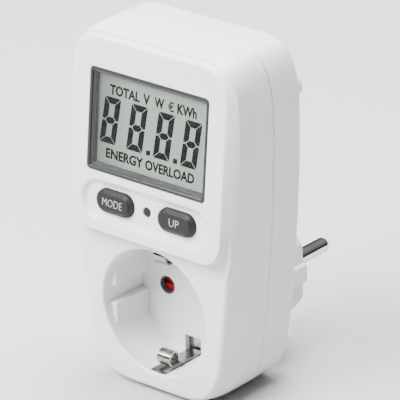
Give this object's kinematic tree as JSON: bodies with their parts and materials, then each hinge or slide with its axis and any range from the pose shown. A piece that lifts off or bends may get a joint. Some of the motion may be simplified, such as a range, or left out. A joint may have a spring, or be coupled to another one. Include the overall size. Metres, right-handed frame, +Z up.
{
  "type": "plug-in power meter",
  "caption": "Mains energy meter with a plug on the back, a shuttered socket on the front, and a tilted LCD panel with two long buttons and a reset pin.",
  "frame": {"origin": "centre of the plug's end face, between the roots of the two pins", "axes": "+X to the right seen from the front, +Y out of the plug towards the wall, +Z up"},
  "size_m": [0.0644, 0.0716, 0.109],
  "materials": {
    "white_shell": "satin",
    "window_grey": "gloss",
    "clear_lens": "polished",
    "lcd_glass": "polished",
    "holder_plastic": "matte",
    "zebra_rubber": "matte",
    "board": "satin",
    "key_grey": "satin",
    "black_plastic": "matte",
    "natural_plastic": "matte",
    "black_resin": "satin",
    "plated_steel": "satin",
    "battery_sleeve": "satin",
    "yellow_plastic": "gloss",
    "capacitor_sleeve": "gloss",
    "blue_resin": "gloss",
    "resistor_body": "satin",
    "cable_grey": "satin",
    "red_plastic": "satin",
    "brass": "satin",
    "shunt_alloy": "satin",
    "nickel": "polished",
    "lead_blue": "satin"
  },
  "bodies": {
    "housing": {"front_shell": "white_shell", "rear_shell": "white_shell", "window_frame": "window_grey", "window_lens": "clear_lens", "lcd_cell": "lcd_glass", "lcd_holder": "holder_plastic", "zebra_strips": "zebra_rubber", "display_board": "board", "switch_bodies": "black_plastic", "controller_blob": "black_resin", "crystal": "plated_steel", "backup_battery": "battery_sleeve", "power_board": "board", "metering_chip": "black_resin", "dropper_capacitor": "yellow_plastic", "smoothing_capacitor": "capacitor_sleeve", "varistor": "blue_resin", "resistors": "resistor_body", "ribbon_link": "cable_grey", "shutter_spring": "plated_steel", "shutter_cover": "natural_plastic", "contact_block": "natural_plastic", "live_contact": "brass", "neutral_contact": "brass", "shunt": "shunt_alloy", "live_bar": "brass", "neutral_bar": "brass", "live_pin": "nickel", "neutral_pin": "nickel", "pin_carrier": "black_plastic", "upper_earth_strap": "plated_steel", "lower_earth_strap": "plated_steel", "earth_bridge": "plated_steel", "sense_leads": "lead_blue", "housing_screws": "plated_steel", "display_screws": "plated_steel", "power_board_screws": "plated_steel", "socket_screws": "plated_steel"},
    "mode_key": {"mode_button": "key_grey", "mode_plunger": "natural_plastic"},
    "up_key": {"up_button": "key_grey", "up_plunger": "natural_plastic"},
    "reset_key": {"reset_button": "key_grey"},
    "shutter": {"shutter": "red_plastic"},
    "upper_clip": {"upper_earth_clip": "plated_steel"},
    "lower_clip": {"lower_earth_clip": "plated_steel"}
  },
  "joints": [
    {"name": "mode_press", "type": "slide", "parent": "housing", "child": "mode_key", "axis": [0, 0.993, -0.1184], "range_m": [0, 0.0008], "stiffness_N_per_m": 2500},
    {"name": "up_press", "type": "slide", "parent": "housing", "child": "up_key", "axis": [0, 0.993, -0.1184], "range_m": [0, 0.0008], "stiffness_N_per_m": 2500},
    {"name": "reset_press", "type": "slide", "parent": "housing", "child": "reset_key", "axis": [0, 0.993, -0.1184], "range_m": [0, 0.0005], "stiffness_N_per_m": 2500},
    {"name": "shutter_turn", "type": "hinge", "parent": "housing", "child": "shutter", "pos_m": [0, -0.02885, 0], "axis": [0, 1, 0], "range_deg": [0, 40], "stiffness_Nm_per_rad": 0.02},
    {"name": "upper_clip_flex", "type": "hinge", "parent": "housing", "child": "upper_clip", "pos_m": [0, -0.029, 0.0166], "axis": [-1, 0, 0], "range_deg": [0, 8], "stiffness_Nm_per_rad": 0.5},
    {"name": "lower_clip_flex", "type": "hinge", "parent": "housing", "child": "lower_clip", "pos_m": [0, -0.029, -0.0166], "axis": [1, 0, 0], "range_deg": [0, 8], "stiffness_Nm_per_rad": 0.5}
  ]
}
